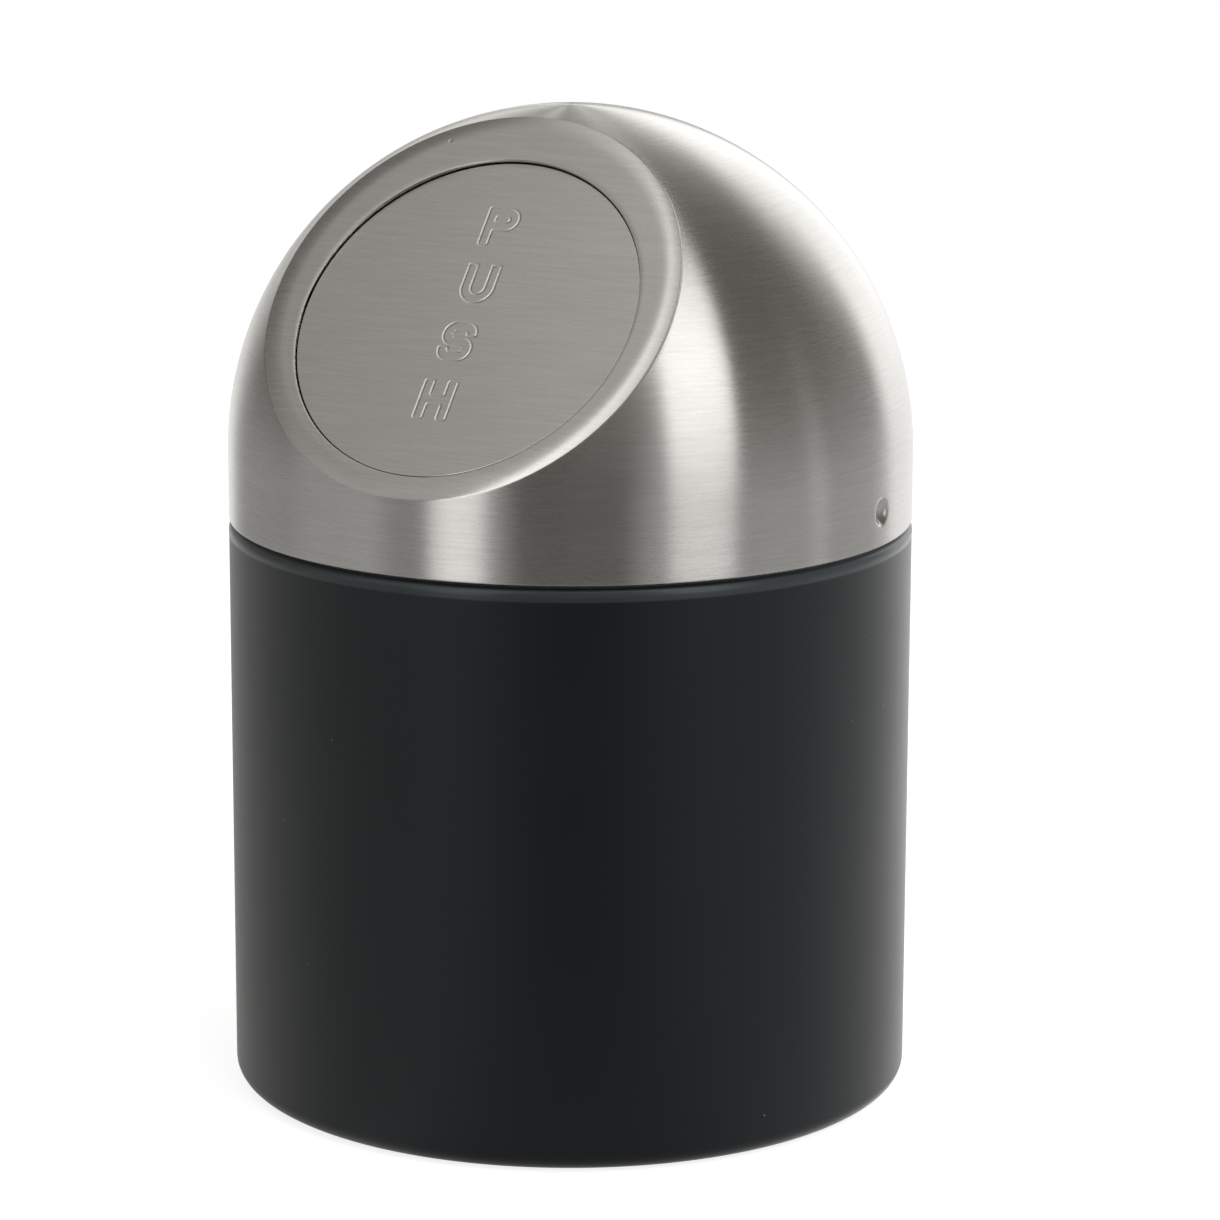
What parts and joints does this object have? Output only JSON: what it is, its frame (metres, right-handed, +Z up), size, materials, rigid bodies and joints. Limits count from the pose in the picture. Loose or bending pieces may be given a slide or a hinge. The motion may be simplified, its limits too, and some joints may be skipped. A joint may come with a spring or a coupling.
{
  "type": "push top countertop bin",
  "caption": "Small round countertop bin: a painted steel can with a domed stainless lid and a sprung push flap in its slanted face.",
  "frame": {"origin": "centre of the circle on which the bin stands, on the plane it rests on", "axes": "+Z up, along the can's axis; the flap faces -Y and up; the flap's hinge lies along X"},
  "size_m": [0.1202, 0.1202, 0.1735],
  "materials": {
    "can_paint": "matte black powder coat",
    "foot_rubber": "matte",
    "lid_steel": "brushed round the dome",
    "flap_steel": "brushed across",
    "black_plastic": "moulded, fine texture",
    "pin_steel": "bright drawn",
    "spring_steel": "oiled spring steel",
    "stop_rubber": "soft",
    "foam_tape": "closed-cell foam tape"
  },
  "bodies": {
    "can": {"can_body": "can_paint", "foot_ring": "foot_rubber"},
    "lid": {"lid_dome": "lid_steel", "lid_collar": "black_plastic", "hinge_frame": "black_plastic", "frame_studs": "pin_steel", "stud_clips": "spring_steel", "hinge_axle": "pin_steel", "axle_clip_left": "spring_steel", "axle_clip_right": "spring_steel", "return_spring_left": "spring_steel", "return_spring_right": "spring_steel", "stop_pad_left": "stop_rubber", "stop_pad_right": "stop_rubber"},
    "flap": {"flap_disc": "flap_steel", "flap_tape": "foam_tape", "flap_carrier": "black_plastic"}
  },
  "joints": [
    {"name": "lid_lift", "type": "slide", "parent": "can", "child": "lid", "axis": [0, 0, 1], "range_m": [0, 0.08]},
    {"name": "flap_hinge", "type": "hinge", "parent": "lid", "child": "flap", "pos_m": [0, -0.01603, 0.16024], "axis": [1, 0, 0], "range_deg": [0, 65], "stiffness_Nm_per_rad": 0.004, "springref_deg": -114.59, "deforming": ["return_spring_left", "return_spring_right"]}
  ]
}
